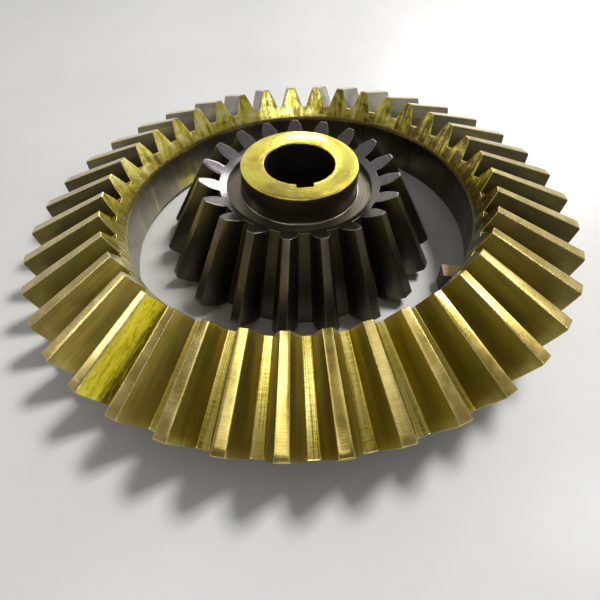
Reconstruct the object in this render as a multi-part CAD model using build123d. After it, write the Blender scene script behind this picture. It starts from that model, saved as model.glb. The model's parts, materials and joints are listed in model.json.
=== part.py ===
from build123d import *
from collections import namedtuple
from math import acos, asin, atan2, cos, degrees, hypot, pi, radians, sin, tan
import os

# Straight bevel gear pair, laid out toe side up. The pinion stands on its back face in the ring gear's
# bore. The ring gear leans: one side of its back rim is on the floor and the other is on a batten.
# Millimetres. +Z is up. The origin is on the floor, straight below the centre of the ring's heel circle.

# Tooth system, shared by the two gears
module = 30.0
ring_teeth = 39
pinion_teeth = 19
pressure_angle = radians(20)
face_width = 200.0
addendum = 1.0 * module
dedendum = 1.25 * module
backlash = 0.8
root_fillet = 3.0
tip_edge_break = 1.8

# Ring gear
ring_bore_r = 380.0
ring_back_below_apex = 349.0
ring_edge_chamfer = 3.0
ring_heel_bevel = 3.0
ring_tooth_angle = -94.44
ring_raised_side = -17.5

# Pinion
pinion_x = 2.9
pinion_y = 12.9
pinion_height = 228.0
pinion_bore_r = 75.0
pinion_tooth_angle = 128.7
pinion_heel_bevel = 4.5
hub_r = 126.0
hub_chamfer = 2.5
recess_outer_r = 158.5
recess_depth = 12.0
recess_fillet = 5.0
keyway_width = 36.0
keyway_depth = 12.0
keyway_angle = -84.0

# Timber batten under the raised side of the ring
batten_height = 50.0
batten_width = 35.0
batten_length = 200.0
batten_edge = 1.2
batten_end_x = 314.0
batten_end_y = -140.0
batten_angle = -5.0
batten_gap = 0.25

# How far each tooth-space cutter runs past the blank: lengthwise as a share of the cone length, then up
# the bevel of the tooth's tip edge, then above that
cutter_overrun = 0.06
cutter_edge_rise = 1.0
cutter_headroom = 14.0

# Edges within this of a level count as lying on it
level_tolerance = 0.01

# The shafts cross at a right angle, so the tooth counts give each pitch cone's half angle
pitch_cone_length = hypot(ring_teeth, pinion_teeth) * module / 2
toe_scale = 1 - face_width / pitch_cone_length
Gear = namedtuple("Gear", "teeth cone")
ring = Gear(ring_teeth, atan2(ring_teeth, pinion_teeth))
pinion = Gear(pinion_teeth, atan2(pinion_teeth, ring_teeth))

# The ring leans until its bore's lower rim rests on the batten
ring_heel_r = pitch_cone_length * sin(ring.cone) + addendum * cos(ring.cone)
ring_heel_height = ring_back_below_apex - pitch_cone_length * cos(ring.cone) + addendum * sin(ring.cone)
ring_back_r = ring_heel_r - ring_heel_height / tan(ring.cone)
ring_bore_rim_r = ring_bore_r + ring_edge_chamfer
ring_lean = asin((batten_height + batten_gap) / (ring_back_r + ring_bore_rim_r))
ring_heel_level = ring_back_r * sin(ring_lean) + ring_heel_height * cos(ring_lean)


def on_back_cone(gear, height, scale=1.0):
    """Radius and level below the apex, at a height above the pitch cone; scale 1 is the heel."""
    r = pitch_cone_length * sin(gear.cone) + height * cos(gear.cone)
    z = -pitch_cone_length * cos(gear.cone) + height * sin(gear.cone)
    return r * scale, z * scale


def down_the_cone(gear, start, drop=None, radius=None):
    """The point where the back cone or toe cone through start reaches a lower level, or a radius."""
    if drop is None:
        drop = (start[0] - radius) * tan(gear.cone)
    return start[0] - drop / tan(gear.cone), start[1] - drop


def heel_bevel(gear, bevel):
    """The ends of the bevel turned on the teeth's heel corners, the one nearer the toe first."""
    return on_back_cone(gear, addendum, 1 - bevel / pitch_cone_length), on_back_cone(gear, addendum - bevel)


def involute(angle):
    return tan(angle) - angle


def tooth_space(gear, scale):
    """The closed outline of one tooth space, on the plane square to the pitch cone at this scale.

    The tooth form is that of the equivalent spur gear, whose pitch radius is the back cone's length.
    """
    pitch_r = pitch_cone_length * tan(gear.cone)
    base_r = pitch_r * cos(pressure_angle)
    root_r = pitch_r - dedendum
    tip_r = pitch_r + addendum
    half_space = pi / (2 * gear.teeth / cos(gear.cone)) + backlash / (2 * pitch_r)

    def spot(r, angle):
        return Vector(r * sin(angle), r * cos(angle) - pitch_r) * scale

    def flank_angle(r):
        roll = acos(base_r / r) if r > base_r else 0.0
        return half_space - involute(pressure_angle) + involute(roll)

    foot_r = max(base_r, root_r + 2 * root_fillet)
    crest_r = tip_r - tip_edge_break
    corner = spot(root_r, flank_angle(root_r))
    foot = spot(foot_r, flank_angle(foot_r))
    up = (foot - corner).normalized()
    across = (spot(root_r, 0) - corner).normalized()
    half_corner = radians(up.get_angle(across)) / 2
    reach = root_fillet * scale / tan(half_corner)
    inset = root_fillet * scale * (1 / sin(half_corner) - 1)
    fillet_root = corner + across * reach
    fillet_mid = corner + (up + across).normalized() * inset
    fillet_flank = corner + up * reach
    waist_r = (foot_r + crest_r) / 2
    waist = spot(waist_r, flank_angle(waist_r))
    crest = spot(crest_r, flank_angle(crest_r))
    broken_angle = flank_angle(crest_r) + (tip_edge_break + cutter_edge_rise) / tip_r
    broken = spot(tip_r + cutter_edge_rise, broken_angle)
    above = broken + Vector(0, cutter_headroom) * scale

    half = [
        ThreePointArc(fillet_root, fillet_mid, fillet_flank),
        Line(fillet_flank, foot),
        ThreePointArc(foot, waist, crest),
        Line(crest, broken),
        Line(broken, above),
    ]
    root = Line(fillet_root, Vector(-fillet_root.X, fillet_root.Y))
    top = Line(above, Vector(-above.X, above.Y))
    other_half = [edge.mirror(Plane.YZ) for edge in half]
    return Wire([root, *half, top, *other_half])


def cutter(gear):
    """One tooth space as a solid cone towards the apex, in the plane of +X."""
    sections = []
    for scale in (toe_scale - cutter_overrun, 1 + cutter_overrun):
        r, z = on_back_cone(gear, 0, scale)
        outward = (sin(gear.cone), 0, -cos(gear.cone))
        square_to_cone = Plane(origin=(r, 0, z), x_dir=(0, 1, 0), z_dir=outward)
        sections.append(square_to_cone * tooth_space(gear, scale))
    return Solid.make_loft(sections, ruled=True)


def cut_teeth(gear, blank, tooth_angle):
    pitch = 360 / gear.teeth
    first_space = tooth_angle + pitch / 2
    space = cutter(gear)
    spaces = [Rot(Z=first_space + k * pitch) * space for k in range(gear.teeth)]
    return blank - spaces


def turned(points):
    """The solid of revolution of an outline given as radius and level."""
    outline = Plane.XZ * make_face(Polyline(*points, close=True))
    return revolve(outline, Axis.Z)


def make_ring_gear():
    toe_tip = on_back_cone(ring, addendum, toe_scale)
    heel_tip = on_back_cone(ring, addendum)
    back_rim = down_the_cone(ring, heel_tip, drop=heel_tip[1] + ring_back_below_apex)
    bore_top = down_the_cone(ring, toe_tip, radius=ring_bore_r)
    top_flare = down_the_cone(ring, toe_tip, radius=ring_bore_rim_r)
    level = -ring_back_below_apex
    blank = turned([
        toe_tip,
        *heel_bevel(ring, ring_heel_bevel),
        back_rim,
        (ring_bore_rim_r, level),
        (ring_bore_r, level + ring_edge_chamfer),
        (ring_bore_r, bore_top[1] - ring_edge_chamfer),
        top_flare,
    ])
    gear = Pos(Z=-heel_tip[1]) * cut_teeth(ring, blank, ring_tooth_angle)
    lean = Rot(Z=ring_raised_side) * Rot(Y=-degrees(ring_lean)) * Rot(Z=-ring_raised_side)
    return Pos(Z=ring_heel_level) * lean * gear


def make_pinion():
    toe_tip = on_back_cone(pinion, addendum, toe_scale)
    bevel_top, bevel_foot = heel_bevel(pinion, pinion_heel_bevel)
    back_rim = on_back_cone(pinion, -dedendum)
    back = back_rim[1]
    recess_rim = down_the_cone(pinion, toe_tip, radius=recess_outer_r)
    recess_floor = recess_rim[1] - recess_depth
    top = back + pinion_height
    blank = turned([
        (pinion_bore_r + hub_chamfer, back),
        back_rim,
        bevel_foot,
        bevel_top,
        toe_tip,
        recess_rim,
        (recess_outer_r, recess_floor),
        (hub_r, recess_floor),
        (hub_r, top - hub_chamfer),
        (hub_r - hub_chamfer, top),
        (pinion_bore_r + hub_chamfer, top),
        (pinion_bore_r, top - hub_chamfer),
        (pinion_bore_r, back + hub_chamfer),
    ])
    around_floor = [e for e in blank.edges() if abs(e.center().Z - recess_floor) < level_tolerance]
    blank = fillet(around_floor, recess_fillet)
    gear = cut_teeth(pinion, blank, pinion_tooth_angle)
    slot_length = pinion_bore_r + keyway_depth
    slot = Box(slot_length, keyway_width, pinion_height)
    gear -= Rot(Z=keyway_angle) * Pos(slot_length / 2, 0, back + pinion_height / 2) * slot
    return Pos(pinion_x, pinion_y, -back) * gear


def make_batten():
    """A sawn timber, with its arrises taken off, lying flat with one end inside the ring's bore."""
    batten = Box(batten_length, batten_width, batten_height)
    batten = Pos(batten_length / 2, 0, batten_height / 2) * chamfer(batten.edges(), batten_edge)
    return Pos(batten_end_x, batten_end_y) * Rot(Z=batten_angle) * batten


os.makedirs("parts", exist_ok=True)
export_step(make_ring_gear(), "parts/ring_gear.step")
export_step(make_pinion(), "parts/pinion.step")
export_step(make_batten(), "parts/packing_batten.step")
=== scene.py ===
import json
from collections import namedtuple
from math import acos, asin, atan, atan2, cos, hypot, inf, pi, radians, sin, tan

import bpy
from mathutils import Matrix, Vector


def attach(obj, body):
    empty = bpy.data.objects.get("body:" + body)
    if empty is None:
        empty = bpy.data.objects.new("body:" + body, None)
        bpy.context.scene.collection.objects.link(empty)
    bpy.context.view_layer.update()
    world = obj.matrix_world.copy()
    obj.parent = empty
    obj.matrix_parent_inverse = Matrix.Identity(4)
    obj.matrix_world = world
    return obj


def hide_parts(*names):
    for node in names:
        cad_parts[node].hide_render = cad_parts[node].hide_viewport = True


# Looks of a straight bevel gear pair: an oiled ring gear that leans on a batten, and a pinion that
# stands in its bore. Metres, in the frame's own axes.

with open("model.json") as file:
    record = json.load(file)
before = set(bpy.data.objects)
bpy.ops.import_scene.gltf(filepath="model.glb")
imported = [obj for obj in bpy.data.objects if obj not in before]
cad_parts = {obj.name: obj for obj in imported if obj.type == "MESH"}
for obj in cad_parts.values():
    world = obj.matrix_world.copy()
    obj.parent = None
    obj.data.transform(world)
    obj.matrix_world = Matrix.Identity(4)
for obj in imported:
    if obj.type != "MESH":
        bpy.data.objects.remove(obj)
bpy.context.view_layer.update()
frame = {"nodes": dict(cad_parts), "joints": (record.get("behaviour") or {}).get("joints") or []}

# ---------------------------------------------------------------- tooth system, shared by the gears
MODULE = 0.030
RING_TEETH = 39
PINION_TEETH = 19
PRESSURE_ANGLE = radians(20)
FACE_WIDTH = 0.200
ADDENDUM = MODULE
DEDENDUM = 1.25 * MODULE
BACKLASH = 0.0008
ROOT_FILLET = 0.003
TIP_BREAK = 0.0018
CONE_LENGTH = hypot(RING_TEETH, PINION_TEETH) * MODULE / 2
TOE_SCALE = 1 - FACE_WIDTH / CONE_LENGTH

# A gear's tooth count, pitch cone, first tooth's azimuth, the bevels turned on its heel and toe corners,
# and the height above the pitch cone at the heel that its own origin is level with
Form = namedtuple("Form", "teeth cone tooth_angle heel_bevel toe_bevel origin")
RING = Form(RING_TEETH, atan2(RING_TEETH, PINION_TEETH), radians(-94.44),
            heel_bevel=0.0030, toe_bevel=0.0012, origin=ADDENDUM)
PINION = Form(PINION_TEETH, atan2(PINION_TEETH, RING_TEETH), radians(128.7),
              heel_bevel=0.0045, toe_bevel=0.0012, origin=-DEDENDUM)

# Ring body
RING_BORE_R = 0.380
RING_BACK_BELOW_APEX = 0.349
RING_BORE_CHAMFER = 0.003
RIM_CHAMFER = 0.0015

# Pinion body
PINION_HEIGHT = 0.228
PINION_BORE_R = 0.075
HUB_R = 0.126
HUB_CHAMFER = 0.0025
RECESS_OUTER_R = 0.1585
RECESS_DEPTH = 0.012
RECESS_FILLET = 0.005
RECESS_CORNER = 0.001
RECESS_RIM_DROP = 0.0008
KEYWAY_WIDTH = 0.036
KEYWAY_DEPTH = 0.012
KEYWAY_ANGLE = radians(-84)
KEYWAY_FLOOR_R = PINION_BORE_R + KEYWAY_DEPTH

BATTEN_HEIGHT = 0.050

# How finely the meshes are divided
ROOT_STEPS = 3
FILLET_STEPS = 4
FLANK_STEPS = 8
EDGE_STEPS = 2
LAND_STEPS = 4
ALONG_STEPS = 16
BORE_STEPS = 4
RECESS_STEPS = 5

# Width of the burr round each end of the teeth
BURR = 0.0008

# How far from the roots the outline of the teeth has given way to plain circles
RING_ROOT_BAND = 0.006
PINION_ROOT_BAND = 0.004

# Shading breaks at edges sharper than this angle. Elsewhere it follows the larger faces, and the more so
# the further this weight is above 50
SHARP_ANGLE = radians(50)
LARGE_FACE_WEIGHT = 80

# Two azimuths closer than this are the same
ANGLE_MARGIN = 1e-6


# ---------------------------------------------------------------- tooth outline
def involute(angle):
    return tan(angle) - angle


def arc(start, end, centre, steps):
    """Points round the shorter arc from start to end, both included."""
    first = atan2(start.y - centre.y, start.x - centre.x)
    last = atan2(end.y - centre.y, end.x - centre.x)
    sweep = (last - first + pi) % (2 * pi) - pi
    radius = (start - centre).length
    turns = [first + sweep * k / steps for k in range(steps + 1)]
    return [centre + radius * Vector((cos(a), sin(a))) for a in turns]


def half_space(form, crop):
    """Half of a tooth space, on the plane square to the pitch cone at the heel, from the middle of the
    root to the tip: points, and what each stretch after a point is. crop lowers the tip."""
    pitch_r = CONE_LENGTH * tan(form.cone)
    base_r = pitch_r * cos(PRESSURE_ANGLE)
    root_r = pitch_r - DEDENDUM
    tip_r = pitch_r + ADDENDUM - crop
    half_gap = pi / (2 * form.teeth / cos(form.cone)) + BACKLASH / (2 * pitch_r)

    def spot(r, angle):
        return Vector((r * sin(angle), r * cos(angle) - pitch_r))

    def flank_angle(r):
        roll = acos(base_r / r) if r > base_r else 0.0
        return half_gap - involute(PRESSURE_ANGLE) + involute(roll)

    foot_r = max(base_r, root_r + 2 * ROOT_FILLET)
    crest_r = tip_r - TIP_BREAK
    corner = spot(root_r, flank_angle(root_r))
    up = (spot(foot_r, flank_angle(foot_r)) - corner).normalized()
    across = (spot(root_r, 0) - corner).normalized()
    half_corner = up.angle(across) / 2
    centre = corner + (up + across).normalized() * (ROOT_FILLET / sin(half_corner))
    reach = ROOT_FILLET / tan(half_corner)
    root_end = corner + across * reach
    fillet_end = corner + up * reach
    crest = spot(crest_r, flank_angle(crest_r))
    corner_tip = spot(tip_r, flank_angle(tip_r))
    tip = spot(tip_r, flank_angle(crest_r) + TIP_BREAK / tip_r)

    points = [Vector((root_end.x * k / ROOT_STEPS, root_end.y)) for k in range(ROOT_STEPS)]
    zones = ["root"] * ROOT_STEPS
    points += arc(root_end, fillet_end, centre, FILLET_STEPS)
    zones += ["root"] * FILLET_STEPS + ["flank"]
    for k in range(FLANK_STEPS):
        r = foot_r + (crest_r - foot_r) * k / FLANK_STEPS
        points.append(spot(r, flank_angle(r)))
        zones.append("flank")
    for k in range(EDGE_STEPS):
        t = k / EDGE_STEPS
        points.append(crest * (1 - t) ** 2 + corner_tip * 2 * t * (1 - t) + tip * t ** 2)
        zones.append("edge")
    points.append(tip)
    return points, zones


def moved_in(form, points, gap):
    """The outline moved into the metal by gap, with its corners kept."""
    pitch_r = CONE_LENGTH * tan(form.cone)
    tip_angle = atan2(points[-1].x, points[-1].y + pitch_r)
    ways = [(b - a).normalized() for a, b in zip(points, points[1:])]
    ways = [Vector((1, 0)), *ways, Vector((cos(tip_angle), -sin(tip_angle)))]
    inward = [Vector((way.y, -way.x)) for way in ways]
    return [p + (a + b) * (gap / (1 + a.dot(b))) for p, a, b in zip(points, inward, inward[1:])]


def on_heel(form, across, height):
    """Azimuth, radius and level above the apex where the line from the apex through a point of the
    outline's plane meets the back cone."""
    out = CONE_LENGTH * sin(form.cone) + height * cos(form.cone)
    level = height * sin(form.cone) - CONE_LENGTH * cos(form.cone)
    r = hypot(out, across)
    stretch = CONE_LENGTH / (r * sin(form.cone) - level * cos(form.cone))
    return atan2(across, out), r * stretch, level * stretch


def tooth_columns(form, inset=0.0, crop=0.0):
    """One pitch of the toothed rim at the heel, from the middle of a space to the middle of the next:
    azimuth, radius and level of each column, and what each stretch after a column is."""
    half_step = pi / form.teeth
    points, zones = half_space(form, crop)
    rising = []
    for point in moved_in(form, points, inset):
        azimuth, r, z = on_heel(form, point.x, point.y)
        rising.append((azimuth - half_step, r, z))
    tip_azimuth = rising[-1][0]
    _, land_r, land_z = on_heel(form, 0, ADDENDUM - crop - inset)
    land = [(tip_azimuth * (1 - 2 * k / LAND_STEPS), land_r, land_z) for k in range(1, LAND_STEPS)]
    falling = [(-azimuth, r, z) for azimuth, r, z in reversed(rising)]
    return rising + land + falling[:-1], zones + ["land"] * LAND_STEPS + zones[::-1]


def apex_level(form):
    """The level of the pitch cone's apex above the gear's own origin."""
    return CONE_LENGTH * cos(form.cone) - form.origin * sin(form.cone)


# ---------------------------------------------------------------- gear meshes
class Shell:
    """A gear's mesh, built from rings of points round its axis. Levels are measured from the gear's own
    origin, and no point of the teeth is below the lowest level."""

    def __init__(self, form, lowest=-inf):
        self.form = form
        self.apex = apex_level(form)
        self.lowest = lowest
        self.points = []
        self.faces = []
        self.zones = []

    def add(self, azimuth, r, z):
        self.points.append((r * cos(azimuth), r * sin(azimuth), z))
        return len(self.points) - 1

    def quad(self, a, b, c, d, zone):
        """A face between four points, which is a triangle where two of them are the same."""
        corners = list(dict.fromkeys((a, b, c, d)))
        if len(corners) > 2:
            self.faces.append(corners)
            self.zones.append(zone)

    def join(self, lower, upper, zones):
        """Faces between two closed rings; zones is one name, or one for each column of a tooth."""
        count = len(lower)
        for k in range(count):
            zone = zones if isinstance(zones, str) else zones[k % len(zones)]
            after = (k + 1) % count
            self.quad(lower[k], lower[after], upper[after], upper[k], zone)

    def tooth_turns(self):
        step = 2 * pi / self.form.teeth
        return [self.form.tooth_angle + k * step for k in range(self.form.teeth)]

    def back_cone_r(self, z):
        """The radius of the back cone at a level."""
        _, tip_r, tip_z = on_heel(self.form, 0, ADDENDUM)
        return tip_r + (z - tip_z - self.apex) / tan(self.form.cone)

    def toe_cone_z(self, r):
        """The level of the toe cone at a radius."""
        _, tip_r, tip_z = on_heel(self.form, 0, ADDENDUM)
        return tip_z * TOE_SCALE + self.apex - (tip_r * TOE_SCALE - r) * tan(self.form.cone)

    def rim_ring(self, scale, inset, crop):
        """A ring round all the teeth at one distance from the apex."""
        columns, _ = tooth_columns(self.form, inset / scale, crop / scale)
        ring = []
        for turn in self.tooth_turns():
            for azimuth, r, z in columns:
                level = max(z * scale + self.apex, self.lowest)
                ring.append(self.add(turn + azimuth, r * scale, level))
        return ring

    def toothed_rim(self):
        """The flanks, lands and roots from heel to toe. Returns the rings at the two ends."""
        heel, toe = self.form.heel_bevel, self.form.toe_bevel
        long = FACE_WIDTH - heel - toe
        rows = [(0, BURR, heel), (BURR, 0, heel - BURR)]
        rows += [(heel + long * k / ALONG_STEPS, 0, 0) for k in range(ALONG_STEPS + 1)]
        rows += [(FACE_WIDTH - BURR, 0, toe - BURR), (FACE_WIDTH, BURR, toe)]
        _, zones = tooth_columns(self.form)
        rings = [self.rim_ring(1 - start / CONE_LENGTH, inset, crop) for start, inset, crop in rows]
        for k, (low, high) in enumerate(zip(rings, rings[1:])):
            at_end = k in (0, len(rings) - 2)
            self.join(low, high, "burr" if at_end else zones)
        return rings[0], rings[-1]

    def tooth_ends(self, ring, scale, zone, flip):
        """Closes the teeth at one end, and returns the ring at the roots with its azimuths."""
        per_tooth = len(ring) // self.form.teeth
        half = (per_tooth - LAND_STEPS) // 2
        columns, _ = tooth_columns(self.form, BURR / scale)
        base, turns = [], []
        for tooth, turn in enumerate(self.tooth_turns()):
            mine = ring[tooth * per_tooth:(tooth + 1) * per_tooth]
            base += mine[:ROOT_STEPS]
            turns += [turn + columns[k][0] for k in range(ROOT_STEPS)]
            below = None
            for level in range(ROOT_STEPS, half + 1):
                left, right = mine[level], mine[per_tooth - level]
                if level == half:
                    row = mine[half:half + LAND_STEPS + 1]
                else:
                    row = [left, *self.between(left, right), right]
                if below is None:
                    base += row[:-1]
                    reach = columns[level][0]
                    turns += [turn + reach * (1 - 2 * k / LAND_STEPS) for k in range(LAND_STEPS)]
                else:
                    for k in range(LAND_STEPS):
                        corners = (below[k], below[k + 1], row[k + 1], row[k])
                        self.quad(*(corners[::-1] if flip else corners), zone)
                below = row
            base += mine[per_tooth - ROOT_STEPS:]
            turns += [turn + columns[per_tooth - k][0] for k in range(ROOT_STEPS, 0, -1)]
        return base, turns

    def between(self, left, right):
        """Points across a tooth's end from its left flank to its right one."""
        lx, ly, z = self.points[left]
        rx, ry, _ = self.points[right]
        r = hypot(lx, ly)
        first = atan2(ly, lx)
        sweep = (atan2(ry, rx) - first + pi) % (2 * pi) - pi
        return [self.add(first + sweep * k / LAND_STEPS, r, z) for k in range(1, LAND_STEPS)]

    def teeth(self):
        """All the teeth. Returns the rings round their roots at the heel and the toe, and the azimuths
        of the points in each."""
        heel_ring, toe_ring = self.toothed_rim()
        heel_base, turns = self.tooth_ends(heel_ring, 1, "heel", False)
        toe_base, _ = self.tooth_ends(toe_ring, TOE_SCALE, "toe", True)
        return heel_base, toe_base, turns

    def turned(self, start, turns, profile, last):
        """Turned surfaces from one ring of points, through radius and level pairs, to the ring at the
        toe. Rings narrower than the keyway's floor have the keyway in them."""
        below = start
        for r, z, zone in profile:
            outline = keyed_outline(turns, r) if r < KEYWAY_FLOOR_R else [(turn, r) for turn in turns]
            ring = [self.add(turn, each_r, z) for turn, each_r in outline]
            self.join(ring, below, zone)
            below = ring
        self.join(last, below, "toe")

    def finish(self, name, placed, materials):
        """The mesh as an object, placed, with a material for each zone."""
        mesh = bpy.data.meshes.new(name)
        mesh.from_pydata([placed @ Vector(point) for point in self.points], [], self.faces)
        own_place = mesh.attributes.new("own_place", "FLOAT_VECTOR", "POINT")
        own_place.data.foreach_set("vector", [value for point in self.points for value in point])
        names = list(materials)
        for zone in names:
            mesh.materials.append(materials[zone])
        mesh.polygons.foreach_set("material_index", [names.index(zone) for zone in self.zones])
        mesh.polygons.foreach_set("use_smooth", [True] * len(self.faces))
        mesh.set_sharp_from_angle(angle=SHARP_ANGLE)
        piece = bpy.data.objects.new(name, mesh)
        bpy.context.scene.collection.objects.link(piece)
        crisp = piece.modifiers.new("crisp", "WEIGHTED_NORMAL")
        crisp.keep_sharp = True
        crisp.weight = LARGE_FACE_WEIGHT
        return piece


def keyed_outline(turns, r):
    """Azimuth and radius of each column round the bore and its keyway, with a column at each corner."""
    mouth = asin(KEYWAY_WIDTH / 2 / r)
    floor = atan(KEYWAY_WIDTH / 2 / KEYWAY_FLOOR_R)
    off = [(turn - KEYWAY_ANGLE + pi) % (2 * pi) - pi for turn in turns]
    placed = [(turn, r) for turn in turns]
    for side in (-1, 1):
        nearest = min(range(len(off)), key=lambda k: abs(off[k] - side * mouth))
        inner = (nearest - side) % len(off)
        placed[nearest] = (KEYWAY_ANGLE + side * mouth, r)
        placed[inner] = (KEYWAY_ANGLE + side * floor, hypot(KEYWAY_FLOOR_R, KEYWAY_WIDTH / 2))
        off[nearest] = side * mouth
        off[inner] = side * floor
    for k, away in enumerate(off):
        if abs(away) < floor - ANGLE_MARGIN:
            placed[k] = (turns[k], KEYWAY_FLOOR_R / cos(away))
    return placed


def ring_shell():
    """The ring gear, from the teeth down its back cone, across its back and up its bore."""
    shell = Shell(RING)
    heel_base, toe_base, turns = shell.teeth()
    back = shell.apex - RING_BACK_BELOW_APEX
    lip = back + RIM_CHAMFER
    _, foot_r, foot_z = on_heel(RING, 0, -DEDENDUM - RING_ROOT_BAND)
    flare_r = RING_BORE_R + RING_BORE_CHAMFER
    bore_foot = back + RING_BORE_CHAMFER
    bore_long = shell.toe_cone_z(RING_BORE_R) - RING_BORE_CHAMFER - bore_foot
    levels = [bore_foot + bore_long * k / BORE_STEPS for k in range(1, BORE_STEPS + 1)]
    profile = [
        (foot_r, foot_z + shell.apex, "heel"),
        (shell.back_cone_r(lip), lip, "heel"),
        (shell.back_cone_r(back) - RIM_CHAMFER, back, "edge"),
        (flare_r, back, "back"),
        (RING_BORE_R, bore_foot, "edge"),
        *[(RING_BORE_R, level, "bore") for level in levels],
        (flare_r, shell.toe_cone_z(flare_r), "edge"),
    ]
    shell.turned(heel_base, turns, profile, toe_base)
    return shell


def pinion_shell():
    """The pinion, from the teeth across its back, up its bore, over its hub and through the recess."""
    shell = Shell(PINION, lowest=0.0)
    heel_base, toe_base, turns = shell.teeth()
    rim = shell.toe_cone_z(RECESS_OUTER_R)
    floor = rim - RECESS_DEPTH
    profile = [
        (shell.back_cone_r(0) - PINION_ROOT_BAND, 0, "back"),
        (PINION_BORE_R + HUB_CHAMFER, 0, "back"),
        (PINION_BORE_R, HUB_CHAMFER, "bore"),
        (PINION_BORE_R, PINION_HEIGHT / 2, "bore"),
        (PINION_BORE_R, PINION_HEIGHT - HUB_CHAMFER, "bore"),
        (PINION_BORE_R + HUB_CHAMFER, PINION_HEIGHT, "hub_edge"),
        (HUB_R - HUB_CHAMFER, PINION_HEIGHT, "hub_top"),
        (HUB_R, PINION_HEIGHT - HUB_CHAMFER, "hub_edge"),
        (HUB_R, floor + RECESS_FILLET, "hub_side"),
    ]
    for k in range(1, RECESS_STEPS + 1):
        a = k * pi / 2 / RECESS_STEPS
        r = HUB_R + RECESS_FILLET * (1 - cos(a))
        profile.append((r, floor + RECESS_FILLET * (1 - sin(a)), "recess_fillet"))
    profile += [
        (RECESS_OUTER_R - RECESS_CORNER, floor, "recess"),
        (RECESS_OUTER_R, floor + RECESS_CORNER, "recess_wall"),
        (RECESS_OUTER_R, rim - RECESS_RIM_DROP, "recess_wall"),
        (RECESS_OUTER_R + RECESS_RIM_DROP / 2, rim, "edge"),
    ]
    shell.turned(heel_base, turns, profile, toe_base)
    return shell


# ---------------------------------------------------------------- materials
class Graph:
    """A material's nodes, made one call at a time. A value is a number, a colour or the output of
    another node."""

    def __init__(self, name):
        self.material = bpy.data.materials.new(name)
        self.material.use_nodes = True
        self.tree = self.material.node_tree
        self.shader = self.tree.nodes["Principled BSDF"]

    def feed(self, socket, value):
        if isinstance(value, bpy.types.NodeSocket):
            self.tree.links.new(value, socket)
        elif socket.type == "RGBA":
            socket.default_value = (*value, 1)
        else:
            socket.default_value = value

    def set(self, **values):
        """Sets the shader's inputs; base_color stands for Base Color, and so on."""
        for name, value in values.items():
            self.feed(self.shader.inputs[name.replace("_", " ").title().replace("Ior", "IOR")], value)

    def node(self, kind, settings, *values):
        made = self.tree.nodes.new(kind)
        for name, value in settings.items():
            setattr(made, name, value)
        for socket, value in zip(made.inputs, values):
            self.feed(socket, value)
        return made

    def maths(self, operation, *values):
        return self.node("ShaderNodeMath", {"operation": operation}, *values).outputs[0]

    def times(self, value, number):
        return self.maths("MULTIPLY", value, number)

    def blend(self, first, second, share):
        """Two values added up: share of the second one, and the rest of the first."""
        return self.maths("ADD", self.times(first, 1 - share), self.times(second, share))

    def vector(self, operation, output, *values):
        made = self.node("ShaderNodeVectorMath", {"operation": operation}, *values)
        return made.outputs[output]

    def split(self, vector):
        return self.node("ShaderNodeSeparateXYZ", {}, vector).outputs

    def joined(self, x, y, z):
        return self.node("ShaderNodeCombineXYZ", {}, x, y, z).outputs[0]

    def noise(self, vector, scale, w=0.0, detail=3.0, roughness=0.55, distortion=0.0):
        """Noise with scale cycles per unit of vector, and one cycle per unit of w."""
        made = self.node("ShaderNodeTexNoise", {"noise_dimensions": "4D"})
        w = self.maths("DIVIDE", w, scale)
        for name, value in (("Vector", vector), ("W", w), ("Scale", scale), ("Detail", detail),
                            ("Roughness", roughness), ("Distortion", distortion)):
            self.feed(made.inputs[name], value)
        return made.outputs["Fac"]

    def marks(self, value, per_metre, w=0.0, detail=1.0):
        """Fine lines, each at one reading of a value in metres."""
        return self.noise(self.joined(value, 0.0, 0.0), per_metre, w, detail)

    def fit(self, value, low, high, to_low=0.0, to_high=1.0):
        return self.node("ShaderNodeMapRange", {}, value, low, high, to_low, to_high).outputs[0]

    def ramp(self, value, *stops):
        made = self.node("ShaderNodeValToRGB", {}, value)
        elements = made.color_ramp.elements
        while len(elements) < len(stops):
            elements.new(0.5)
        for element, (place, colour) in zip(elements, stops):
            element.position = place
            element.color = (*colour, 1)
        return made.outputs["Color"]

    def mix(self, share, first, second, blend="MIX"):
        """One colour over another. A Mix node's colour sockets have the same names as its others, so
        they are picked by number."""
        made = self.tree.nodes.new("ShaderNodeMix")
        made.data_type = "RGBA"
        made.blend_type = blend
        for number, value in ((0, share), (6, first), (7, second)):
            self.feed(made.inputs[number], value)
        return made.outputs[2]

    def bump(self, height, distance, strength=1.0):
        """Relief, on top of any that the shader already has."""
        made = self.node("ShaderNodeBump", {})
        for name, value in (("Strength", strength), ("Distance", distance), ("Height", height)):
            self.feed(made.inputs[name], value)
        normal = self.shader.inputs["Normal"]
        if normal.links:
            self.feed(made.inputs["Normal"], normal.links[0].from_socket)
        self.feed(normal, made.outputs["Normal"])


# Sides of the ring, by azimuth. It leans down to the low side, where oil has drained. Its flanks are
# painted brighter on the lit side and lighter khaki on the khaki side, and its lands are painted gold on
# the gold side and darker tan-brown away from it: painted light and shade
LOW_SIDE = radians(162.5)
LIT_FLANK_SIDE = radians(-97)
KHAKI_LIT_SIDE = radians(-135)
GOLD_LIT_SIDE = radians(-50)

# The pinion's hub top and tooth toes are painted darker on this side, the front: painted shade
PINION_SHADE_SIDE = radians(-80)

# The tooth space that is wet with yellow oil, counted round from the first tooth
WET_SPACE = 35

# How far steel under a thin film of oil counts as bare metal
METALLIC = 0.95

# Where a point is on its gear: its place, the unit vector out to it from the axis, its radius and level,
# the unit vector and the distance to it from the apex, and the numbers of its tooth and tooth space
Lay = namedtuple("Lay", "place round_axis radius level towards along tooth gap")


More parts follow.
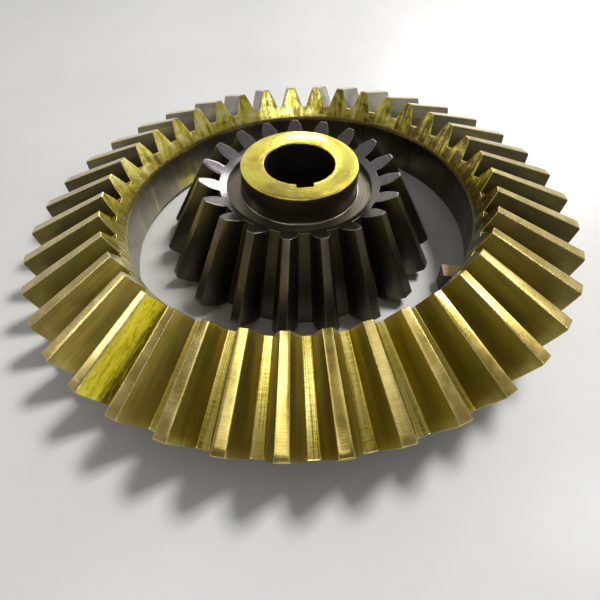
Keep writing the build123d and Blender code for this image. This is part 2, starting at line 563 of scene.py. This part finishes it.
def lay_of(graph, form):
    """The lay of a gear's surface, worked out by a material's nodes."""
    place = graph.node("ShaderNodeAttribute", {"attribute_name": "own_place"}).outputs["Vector"]
    x, y, level = graph.split(place)
    radius = graph.maths("SQRT", graph.maths("ADD", graph.maths("POWER", x, 2.0),
                                             graph.maths("POWER", y, 2.0)))
    azimuth = graph.maths("ARCTAN2", y, x)
    round_axis = graph.joined(graph.maths("COSINE", azimuth), graph.maths("SINE", azimuth), 0.0)
    from_apex = graph.joined(x, y, graph.maths("SUBTRACT", level, apex_level(form)))
    towards = graph.vector("NORMALIZE", "Vector", from_apex)
    along = graph.vector("LENGTH", "Value", from_apex)
    turned = graph.maths("SUBTRACT", azimuth, form.tooth_angle)
    count = graph.maths("DIVIDE", turned, 2 * pi / form.teeth)
    tooth = numbered(graph, graph.maths("ADD", count, 0.5), form.teeth)
    gap = numbered(graph, count, form.teeth)
    return Lay(place, round_axis, radius, level, towards, along, tooth, gap)


def numbered(graph, count, teeth):
    """A whole number that is the same all over one tooth, or one space."""
    return graph.maths("FLOOR", graph.maths("WRAP", count, float(teeth), 0.0))


def on_side(graph, lay, azimuth, low, high, ragged=0.25):
    """A share that rises from 0 to 1 towards one side of the gear, with a ragged border."""
    side = (cos(azimuth), sin(azimuth), 0)
    nearness = graph.vector("DOT_PRODUCT", "Value", lay.round_axis, side)
    border = graph.maths("MULTIPLY_ADD", graph.noise(lay.place, 12.0), 2 * ragged, -ragged)
    return graph.fit(graph.maths("ADD", nearness, border), low, high)


def varied(graph, film, tooth, spread):
    """The film, darker or paler from tooth to tooth by up to spread."""
    drawn = graph.node("ShaderNodeTexWhiteNoise", {"noise_dimensions": "1D"})
    graph.feed(drawn.inputs["W"], tooth)
    return graph.maths("ADD", film, graph.fit(drawn.outputs["Value"], 0, 1, -spread, spread))


def wet_yellow(g, lay):
    """Thick yellow oil, darker towards the foot of the flanks, and from further up at the heel. The
    shares of the way up the flank are 0 at the root and 1 at the tip."""
    drop = g.noise(lay.towards, 90.0, g.times(lay.along, 50.0), 4.0, 0.65, 0.8)
    line = g.noise(lay.towards, 700.0, g.times(lay.along, 20.0), 4.0, 0.7)
    root, tip = on_heel(RING, 0, -DEDENDUM), on_heel(RING, 0, ADDENDUM)
    root_slope, tip_slope = (level / hypot(r, level) for _, r, level in (root, tip))
    up_flank = g.fit(g.split(lay.towards)[2], root_slope, tip_slope)
    more_at_toe = g.fit(lay.along, CONE_LENGTH * TOE_SCALE, CONE_LENGTH, 0.194, 0.0)
    # Darker towards the root of the flanks, and further up at the heel than at the toe
    drained = g.fit(g.maths("ADD", up_flank, more_at_toe), 0.268, 0.505, -0.13, 0.0)
    wetness = g.maths("ADD", g.blend(drop, line, 0.6), drained)
    return g.ramp(wetness, (0.36, (0.14, 0.105, 0.022)), (0.43, (0.58, 0.50, 0.03)),
                  (0.51, (0.98, 0.88, 0.06)), (0.64, (1.0, 0.95, 0.30)))


def ring_flank():
    """Planed flanks under an oil film, streaked towards the apex, some brighter than others, with painted
    light on the lit and khaki sides and painted shade elsewhere.
    """
    g = Graph("ring_flank_oiled_steel")
    lay = lay_of(g, RING)
    streak = g.noise(lay.towards, 170.0, g.times(lay.along, 9.0), 3.0, 0.6)
    patch = g.noise(lay.towards, 16.0, g.times(lay.along, 7.0), 2.0, 0.5, 0.3)
    film = varied(g, g.blend(streak, patch, 0.65), lay.tooth, 0.08)
    # Painted shade: the darker flank colours, away from the lit side
    shaded_flank = g.ramp(film, (0.30, (0.065, 0.052, 0.024)), (0.50, (0.110, 0.090, 0.036)),
                  (0.66, (0.18, 0.15, 0.045)), (0.82, (0.32, 0.27, 0.055)))
    # Painted light: the brighter flank colours, on the lit side
    oiled = g.ramp(film, (0.30, (0.24, 0.190, 0.050)), (0.50, (0.37, 0.310, 0.070)),
                   (0.66, (0.50, 0.42, 0.085)), (0.82, (0.76, 0.65, 0.11)))
    # Painted light: lighter khaki flank colours on the khaki side
    khaki = g.ramp(film, (0.30, (0.25, 0.195, 0.052)), (0.50, (0.46, 0.375, 0.10)),
                   (0.66, (0.66, 0.54, 0.14)), (0.82, (0.86, 0.74, 0.20)))
    colour = g.mix(on_side(g, lay, LIT_FLANK_SIDE, 0.1, 0.8), shaded_flank, oiled)
    khaki_lit_share = on_side(g, lay, KHAKI_LIT_SIDE, 0.94, 0.985, 0.03)
    colour = g.mix(khaki_lit_share, colour, khaki)
    stain = g.ramp(g.noise(lay.place, 34.0, 7.0, 4.0, 0.6, 0.6),
                   (0.36, (1.0, 0.80, 0.66)), (0.50, (1.0, 1.0, 1.0)), (0.64, (0.78, 0.96, 0.84)))
    colour = g.mix(0.5, colour, stain, "MULTIPLY")
    wet = g.maths("COMPARE", lay.gap, float(WET_SPACE), 0.5)
    g.set(base_color=g.mix(wet, colour, wet_yellow(g, lay)),
          metallic=g.fit(khaki_lit_share, 0, 1, METALLIC, 0.65),
          roughness=g.fit(patch, 0.3, 0.7, 0.44, 0.28), coat_weight=0.2, coat_roughness=0.2)
    g.bump(streak, 0.00006)
    return g.material


def ring_land():
    """Turned lands with fine tool marks across them, painted brighter gold on one side and darker
    tan-brown on the other as light and shade.
    """
    g = Graph("ring_land_oiled_steel")
    lay = lay_of(g, RING)
    tick = g.marks(lay.along, 620.0)
    film = varied(g, g.noise(lay.place, 26.0, lay.tooth, 4.0, 0.6), lay.tooth, 0.10)
    # Painted shade: darker tan-brown land colours away from the gold side
    tan_brown = g.ramp(film, (0.32, (0.32, 0.25, 0.09)), (0.52, (0.46, 0.375, 0.15)),
                       (0.72, (0.62, 0.52, 0.23)))
    # Painted light: brighter gold land colours on the gold side
    gold = g.ramp(film, (0.32, (0.44, 0.325, 0.060)), (0.52, (0.64, 0.49, 0.12)),
                  (0.72, (0.84, 0.68, 0.26)))
    colour = g.mix(on_side(g, lay, GOLD_LIT_SIDE, -0.3, 0.6), tan_brown, gold)
    colour = g.mix(g.fit(tick, 0.40, 0.56, 0.38, 0.0), colour, (0.24, 0.17, 0.04))
    g.set(base_color=colour, metallic=METALLIC, roughness=g.fit(film, 0.3, 0.7, 0.16, 0.25),
          coat_weight=0.7, coat_roughness=0.08)
    g.bump(tick, 0.00008)
    return g.material


def ring_root():
    """Root lands with the ribs that the planing tool left, and oil lying along them."""
    g = Graph("ring_root_oiled_steel")
    lay = lay_of(g, RING)
    rib = g.noise(lay.towards, 30.0, g.times(lay.along, 640.0), 1.0)
    streak = g.noise(lay.towards, 300.0, g.times(lay.along, 8.0), 4.0)
    film = g.blend(rib, streak, 0.72)
    colour = g.ramp(film, (0.37, (0.24, 0.165, 0.02)), (0.48, (0.84, 0.65, 0.08)),
                    (0.60, (1.0, 0.90, 0.34)))
    g.set(base_color=colour, metallic=METALLIC, roughness=g.fit(film, 0.3, 0.7, 0.26, 0.16),
          coat_weight=0.7, coat_roughness=0.1)
    g.bump(film, 0.0002)
    return g.material


def ring_edge(name):
    """Worn edges, where the steel is bright."""
    g = Graph(name)
    lay = lay_of(g, RING)
    wear = g.noise(lay.place, 160.0)
    colour = g.ramp(wear, (0.35, (0.55, 0.44, 0.12)), (0.65, (0.80, 0.67, 0.28)))
    g.set(base_color=colour, metallic=METALLIC, roughness=g.fit(wear, 0.3, 0.7, 0.30, 0.2))
    return g.material


def ring_end(name, light, middle, dark):
    """Tooth ends and turned faces, wet with oil that has run and pooled."""
    g = Graph(name)
    lay = lay_of(g, RING)
    pool = g.noise(lay.place, 26.0, 0.0, 4.0, 0.6, 1.2)
    run = g.noise(lay.round_axis, 30.0, g.times(lay.level, 6.0), 4.0, 0.65, 0.8)
    film = g.blend(pool, run, 0.5)
    drained = g.fit(on_side(g, lay, LOW_SIDE + pi, 0.1, 0.9), 0, 1, 0.0, -0.09)
    colour = g.ramp(g.maths("ADD", film, drained), (0.40, dark), (0.50, middle), (0.59, light))
    g.set(base_color=colour, metallic=0.9, roughness=g.fit(film, 0.35, 0.65, 0.36, 0.16),
          coat_weight=0.5, coat_roughness=0.12)
    g.bump(pool, 0.0012)
    g.bump(g.marks(lay.radius, 900.0), 0.00008)
    return g.material


def ring_bore():
    """The bored wall: fine turning marks, and oil that has run down it."""
    g = Graph("ring_bore_oiled_steel")
    lay = lay_of(g, RING)
    run = g.noise(lay.round_axis, 14.0, g.times(lay.level, 2.0), 3.0, 0.6)
    film = g.blend(run, g.noise(lay.place, 7.0), 0.4)
    dry = g.ramp(film, (0.40, (0.060, 0.048, 0.030)), (0.60, (0.10, 0.080, 0.045)),
                 (0.68, (0.22, 0.18, 0.04)))
    oily = g.ramp(film, (0.40, (0.24, 0.215, 0.165)), (0.60, (0.33, 0.295, 0.20)),
                  (0.68, (0.62, 0.56, 0.10)))
    colour = g.mix(on_side(g, lay, LOW_SIDE, -0.6, 0.7), dry, oily)
    g.set(base_color=colour, metallic=METALLIC, roughness=g.fit(run, 0.3, 0.7, 0.34, 0.24))
    g.bump(g.marks(lay.level, 900.0, detail=2.0), 0.00006)
    return g.material


def ring_materials():
    """The ring's material for each zone of its mesh."""
    heel = ((0.35, 0.30, 0.12), (0.16, 0.13, 0.05), (0.06, 0.05, 0.03))
    toe = ((0.99, 0.93, 0.40), (0.80, 0.68, 0.08), (0.17, 0.115, 0.015))
    back = ((0.35, 0.32, 0.26), (0.25, 0.22, 0.17), (0.12, 0.10, 0.07))
    return {
        "land": ring_land(),
        "flank": ring_flank(),
        "root": ring_root(),
        "edge": ring_edge("ring_edge_bright_steel"),
        "burr": ring_edge("ring_burr_bright_steel"),
        "heel": ring_end("ring_heel_oiled_steel", *heel),
        "toe": ring_end("ring_toe_wet_steel", *toe),
        "bore": ring_bore(),
        "back": ring_end("ring_back_steel", *back),
    }


def tool_marks(g, lay, way):
    """Marks along the teeth, across them, or round the axis on a face or a wall."""
    if way == "along":
        return g.noise(lay.towards, 240.0, g.times(lay.along, 6.0), 4.0, 0.6)
    if way == "across":
        return g.marks(lay.along, 500.0, lay.tooth, 2.0)
    over = lay.radius if way == "face" else lay.level
    return g.noise(lay.round_axis, 1.2, g.times(over, 420.0), 3.0, 0.6)


def pinion_steel(zone, way, stops, rough, depth, oily=None, painted_fans=False):
    """A zone of the pinion. way is how the tool marks run and depth is how deep they are, rough is the
    roughness where the film is dark and where it is pale, oily is the darker colours painted as shade on
    one side, and the last argument, when true, spreads the film in wedges round the axis, as painted
    highlights and shade of a turned face."""
    g = Graph(f"pinion_{zone}_steel")
    lay = lay_of(g, PINION)
    mark = tool_marks(g, lay, way)
    # Wedges of the film round the axis: painted highlights and shade of a turned face
    if painted_fans:
        cloud = g.noise(lay.round_axis, 1.8, g.times(lay.radius, 16.0), 2.0, 0.5)
        film = g.blend(mark, cloud, 0.7)
    else:
        cloud = g.noise(lay.place, 14.0, 0.0, 4.0, 0.6)
        film = g.blend(mark, cloud, 0.4)
    colour = g.ramp(film, *stops)
    if oily:
        # Painted shade: darker colours on the front side
        colour = g.mix(on_side(g, lay, PINION_SHADE_SIDE, 0.1, 0.8), colour, g.ramp(film, *oily))
    g.set(base_color=colour, metallic=METALLIC, roughness=g.fit(film, 0.3, 0.7, *rough))
    g.bump(mark, depth)
    return g


def pinion_hub_top():
    """The hub's faced top under thick yellow oil, with the long highlights of a turned face, painted
    wedges of highlight and shade round the axis, and painted shade at the front.
    """
    gold = ((0.39, (0.50, 0.37, 0.025)), (0.46, (0.86, 0.69, 0.05)), (0.55, (1.0, 0.90, 0.10)))
    # Painted shade: the darker colours on the front of the hub's top
    brown = ((0.36, (0.26, 0.18, 0.02)), (0.46, (0.46, 0.36, 0.03)), (0.58, (0.76, 0.63, 0.07)))
    g = pinion_steel("hub_top", "face", gold, (0.30, 0.20), 0.0001, brown, True)
    round_axis = g.node("ShaderNodeTangent", {"direction_type": "RADIAL", "axis": "Z"}).outputs[0]
    g.set(anisotropic=0.85, tangent=round_axis, coat_weight=0.8, coat_roughness=0.10)
    return g.material


def pinion_materials():
    """The pinion's material for each zone of its mesh."""
    black = ((0.3, (0.060, 0.050, 0.037)), (0.55, (0.095, 0.079, 0.058)), (0.75, (0.15, 0.122, 0.083)))
    brown = ((0.3, (0.07, 0.058, 0.045)), (0.5, (0.15, 0.125, 0.10)), (0.7, (0.26, 0.22, 0.18)))
    silver = ((0.3, (0.115, 0.104, 0.102)), (0.5, (0.180, 0.165, 0.163)), (0.7, (0.29, 0.270, 0.270)))
    # Painted shade: the darker toe colours at the front
    shaded_olive = ((0.3, (0.08, 0.068, 0.045)), (0.5, (0.13, 0.112, 0.075)), (0.7, (0.22, 0.19, 0.13)))
    tan_brown = ((0.3, (0.10, 0.085, 0.06)), (0.5, (0.20, 0.17, 0.125)), (0.7, (0.34, 0.29, 0.22)))
    gold = ((0.3, (0.44, 0.36, 0.025)), (0.5, (0.68, 0.57, 0.045)), (0.7, (0.90, 0.80, 0.12)))
    rows = (
        ("land", "across", brown, (0.40, 0.30), 0.0001),
        ("flank", "along", black, (0.42, 0.30), 0.00008),
        ("root", "along", black, (0.42, 0.30), 0.0001),
        ("edge", "face", brown, (0.40, 0.30), 0.00005),
        ("burr", "face", silver, (0.40, 0.30), 0.00005),
        ("heel", "face", brown, (0.40, 0.30), 0.00005),
        ("toe", "face", silver, (0.26, 0.18), 0.00004, shaded_olive),
        ("bore", "wall", black, (0.45, 0.35), 0.00008),
        ("back", "face", brown, (0.40, 0.30), 0.00008),
        ("recess", "face", tan_brown, (0.36, 0.26), 0.0001),
        ("recess_fillet", "face", brown, (0.30, 0.20), 0.00004),
        ("recess_wall", "wall", black, (0.45, 0.35), 0.00008),
        ("hub_side", "wall", black, (0.40, 0.28), 0.00008),
        ("hub_edge", "face", gold, (0.30, 0.22), 0.00004),
    )
    materials = {row[0]: pinion_steel(*row).material for row in rows}
    return {**materials, "hub_top": pinion_hub_top()}


def sawn_timber():
    """Softwood with its grain along the batten, with painted light on top and painted shade at the sides.
    """
    g = Graph("sawn_timber")
    place = g.node("ShaderNodeTexCoord", {}).outputs["Object"]
    grain = g.node("ShaderNodeMapping", {}, place)
    grain.inputs["Scale"].default_value = (6, 130, 90)
    fibre = g.noise(grain.outputs[0], 1.0, 0.0, 5.0, 0.65, 0.5)
    # Painted light: the paler colours of the top face
    lit_top_wood = g.ramp(fibre, (0.3, (0.60, 0.34, 0.16)), (0.5, (0.92, 0.62, 0.34)), (0.7, (1.0, 0.80, 0.52)))
    # Painted shade: the darker colours of the sides
    shaded_side_wood = g.ramp(fibre, (0.3, (0.07, 0.045, 0.030)), (0.5, (0.14, 0.095, 0.065)),
                   (0.7, (0.24, 0.17, 0.12)))
    # Where the top face is: painted light above, painted shade below
    top = g.fit(g.split(place)[2], BATTEN_HEIGHT - 0.002, BATTEN_HEIGHT - 0.0005)
    g.set(base_color=g.mix(top, shaded_side_wood, lit_top_wood), roughness=g.fit(fibre, 0.3, 0.7, 0.85, 0.6),
          specular_ior_level=0.3)
    g.bump(fibre, 0.0008)
    return g.material


def painted_floor():
    """A smooth pale coated floor, a little uneven."""
    g = Graph("pale_floor")
    place = g.node("ShaderNodeTexCoord", {}).outputs["Object"]
    cloud = g.noise(place, 1.3, 0.0, 5.0, 0.6)
    colour = g.ramp(cloud, (0.3, (0.60, 0.585, 0.565)), (0.7, (0.68, 0.665, 0.645)))
    g.set(base_color=colour, roughness=g.fit(cloud, 0.3, 0.7, 0.30, 0.40))
    g.bump(g.noise(place, 9.0, 0.0, 2.0), 0.004, 0.5)
    return g.material


# ---------------------------------------------------------------- the object
def resting_frame(joint_name):
    """A gear's own frame at rest, from the joint that it turns on."""
    joint = next(j for j in frame["joints"] if j["name"] == joint_name)
    lean = Vector((0, 0, 1)).rotation_difference(Vector(joint["axis"]))
    return Matrix.Translation(joint["pos_m"]) @ lean.to_matrix().to_4x4()


def add_gear(shell, name, node, body, joint_name, materials):
    gear = shell.finish(name, resting_frame(joint_name), materials)
    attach(gear, body)
    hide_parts(node)


def dress_batten():
    batten = frame["nodes"]["packing_batten"]
    batten.data.materials.clear()
    batten.data.materials.append(sawn_timber())


add_gear(ring_shell(), "ring_gear_steel", "ring_gear", "ring", "ring_spin",
         ring_materials())
add_gear(pinion_shell(), "pinion_steel", "pinion", "pinion", "pinion_spin",
         pinion_materials())
dress_batten()

# ---------------------------------------------------------------- floor, lights and camera
FLOOR_REACH = 12.0
FLOOR_LEVEL = -0.0004

# A rectangular light facing the gears: azimuth from +X towards +Y and elevation in degrees, distance,
# width and height, radiance, what sees it, and roll in degrees, which tips its width up towards the
# higher azimuth. "gloss" is reflections only, "matt" is the diffuse share only, and "all" is both
Softbox = namedtuple("Softbox", "name azimuth elevation distance size radiance seen_by roll",
                     defaults=("gloss", 0))
SOFTBOXES = (
    Softbox("skylight", 25, 58, 5.0, (1.3, 1.0), 60, "matt"),
    Softbox("skylight_gloss", 36, 49, 5.0, (0.9, 0.6), 6),
    Softbox("window_right", 60, 27, 5.0, (2.2, 1.0), 12.5),
    Softbox("hub_glint", 86, 31, 3.5, (0.4, 0.22), 16),
    Softbox("ceiling_left", -139, 69, 3.5, (1.4, 0.7), 4.5),
    Softbox("ceiling_roots", -110, 59, 3.5, (2.2, 0.5), 1.8),
    Softbox("ceiling_front", -34, 68, 3.5, (1.8, 0.8), 1.2),
    Softbox("ceiling_right", 2, 51, 3.5, (0.3, 1.0), 16),
    Softbox("side_right", 12, 38, 4.0, (1.0, 0.5), 3),
    Softbox("side_left", 171, 37.5, 3.5, (1.1, 0.45), 5.5, "gloss", -40),
    Softbox("front", -88, 28, 4.5, (2.0, 0.7), 5, "all"),
)

# The room's brightness from front to back, and what is left of it from the walls up to the ceiling: an
# axis, two readings on it and what they give
ROOM_SHADES = (("Y", -1.0, 1.0, 0.12, 0.95), ("Z", 0.35, 0.85, 1.0, 0.40))
ROOM_COLOUR = (1.0, 0.985, 0.97, 1)

# The photograph's camera: its place, how far it looks down and to the right, and how far it is tilted
CAMERA_PLACE = (-0.034708, -0.874391, 0.817981)
CAMERA_DOWN = radians(49.42)
CAMERA_RIGHT = radians(2.680)
CAMERA_TILT = radians(0.568)
SENSOR_WIDTH_MM = 36
LENS_MM = 29.116


def add_floor():
    ways = ((-1, -1), (1, -1), (1, 1), (-1, 1))
    corners = [(x * FLOOR_REACH, y * FLOOR_REACH, FLOOR_LEVEL) for x, y in ways]
    mesh = bpy.data.meshes.new("floor")
    mesh.from_pydata(corners, [], [(0, 1, 2, 3)])
    mesh.materials.append(painted_floor())
    floor = bpy.data.objects.new("floor", mesh)
    bpy.context.scene.collection.objects.link(floor)


def add_softbox(box):
    lamp = bpy.data.lights.new(box.name, "AREA")
    lamp.shape = "RECTANGLE"
    width, height = box.size
    lamp.size = width
    lamp.size_y = height
    lamp.energy = box.radiance * pi * width * height
    light = bpy.data.objects.new(box.name, lamp)
    turn, rise = radians(box.azimuth), radians(box.elevation)
    out = Vector((cos(rise) * cos(turn), cos(rise) * sin(turn), sin(rise)))
    light.location = out * box.distance
    inward = out.to_track_quat("Z", "Y").to_matrix() @ Matrix.Rotation(radians(box.roll), 3, "Z")
    light.rotation_euler = inward.to_euler()
    light.visible_camera = False
    light.visible_diffuse = box.seen_by != "gloss"
    light.visible_glossy = box.seen_by != "matt"
    bpy.context.scene.collection.objects.link(light)


def add_room():
    """A plain room round the gears: brighter behind them than in front, with a dim ceiling."""
    world = bpy.data.worlds.new("room")
    world.use_nodes = True
    tree = world.node_tree
    way = tree.nodes.new("ShaderNodeTexCoord")
    split = tree.nodes.new("ShaderNodeSeparateXYZ")
    tree.links.new(way.outputs["Generated"], split.inputs[0])
    strength = tree.nodes.new("ShaderNodeMath")
    strength.operation = "MULTIPLY"
    for factor, (axis, *readings) in zip(strength.inputs, ROOM_SHADES):
        shade = tree.nodes.new("ShaderNodeMapRange")
        tree.links.new(split.outputs[axis], shade.inputs["Value"])
        for name, reading in zip(("From Min", "From Max", "To Min", "To Max"), readings):
            shade.inputs[name].default_value = reading
        tree.links.new(shade.outputs[0], factor)
    tree.links.new(strength.outputs[0], tree.nodes["Background"].inputs["Strength"])
    tree.nodes["Background"].inputs["Color"].default_value = ROOM_COLOUR
    bpy.context.scene.world = world


def add_camera():
    camera = bpy.data.cameras.new("camera")
    camera.sensor_width = SENSOR_WIDTH_MM
    camera.lens = LENS_MM
    body = bpy.data.objects.new("camera", camera)
    turn = (Matrix.Rotation(-CAMERA_RIGHT, 4, "Z") @ Matrix.Rotation(pi / 2 - CAMERA_DOWN, 4, "X")
            @ Matrix.Rotation(CAMERA_TILT, 4, "Z"))
    body.matrix_world = Matrix.Translation(CAMERA_PLACE) @ turn
    bpy.context.scene.collection.objects.link(body)
    bpy.context.scene.camera = body


add_floor()
for softbox in SOFTBOXES:
    add_softbox(softbox)
add_room()
add_camera()
bpy.context.scene.view_settings.view_transform = "Standard"
